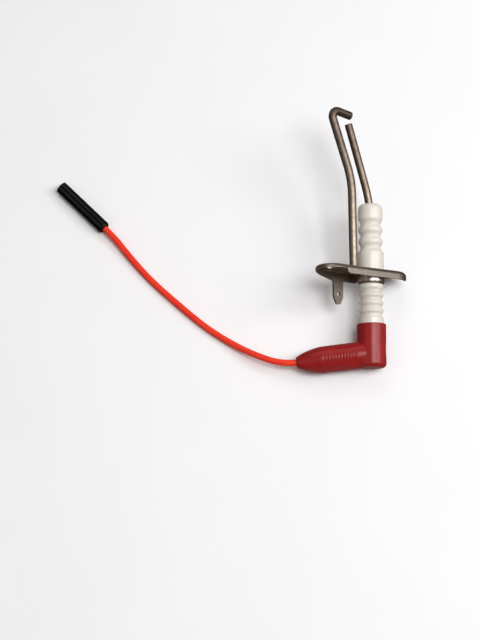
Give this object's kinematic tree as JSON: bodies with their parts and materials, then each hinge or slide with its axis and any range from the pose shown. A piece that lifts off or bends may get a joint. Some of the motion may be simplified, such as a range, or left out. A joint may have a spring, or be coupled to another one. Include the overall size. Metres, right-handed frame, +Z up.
{
  "type": "flame sensor probe",
  "caption": "Burner flame sensing and ignition electrode: ribbed ceramic rod on a one-screw bracket with a hooked earth rod, right-angle silicone boot and short lead.",
  "frame": {"origin": "on the table surface, under the middle of the bounding box of the probe and its boot, without the lead", "axes": "+Z up from the table; +Y from the boot towards the electrode tips, along the probe as it lies; +X to the right when seen from the boot end, away from the lead"},
  "size_m": [0.1341, 0.0951, 0.0357],
  "materials": {
    "bracket_steel": "satin pressed stainless steel",
    "collar_steel": "bright drawn stainless steel",
    "rod_steel": "heat-tinted rod",
    "fired_ceramic": "smooth white glaze",
    "cement": "matt refractory cement",
    "gasket_fibre": "matt fibre",
    "pin_brass": "plain turned brass",
    "contact_brass": "bright stamped brass",
    "spring_steel": "plain wire",
    "boot_silicone": "soft satin silicone",
    "lead_silicone": "glossy silicone",
    "tinned_copper": "stranded wire",
    "tin_plate": "tin-plated brass",
    "sleeve_vinyl": "glossy black vinyl"
  },
  "bodies": {
    "probe": {"mounting_bracket": "bracket_steel", "retaining_collar": "collar_steel", "collar_cement": "cement", "shoulder_gasket": "gasket_fibre", "ceramic_insulator": "fired_ceramic", "sensing_electrode": "rod_steel", "top_cement": "cement", "tail_cement": "cement", "terminal_pin": "pin_brass", "earth_electrode": "rod_steel"},
    "contact": {"contact_socket": "contact_brass", "contact_spring": "spring_steel"},
    "boot": {"silicone_boot": "boot_silicone", "crimp_terminal": "contact_brass", "lead_jacket": "lead_silicone", "lead_conductor": "tinned_copper", "receptacle": "tin_plate"},
    "sleeve": {"terminal_sleeve": "sleeve_vinyl"}
  },
  "joints": [
    {"name": "boot_pull_off", "type": "slide", "parent": "probe", "child": "contact", "axis": [0, -0.9814, -0.1919], "range_m": [0, 0.018]},
    {"name": "boot_swivel", "type": "hinge", "parent": "contact", "child": "boot", "pos_m": [0.00727, -0.04236, 0.00578], "axis": [0, 0.9814, 0.1919], "range_deg": [-180, 180]},
    {"name": "sleeve_push_back", "type": "slide", "parent": "boot", "child": "sleeve", "axis": [0.7071, -0.7071, 0], "range_m": [0, 0.006]}
  ]
}
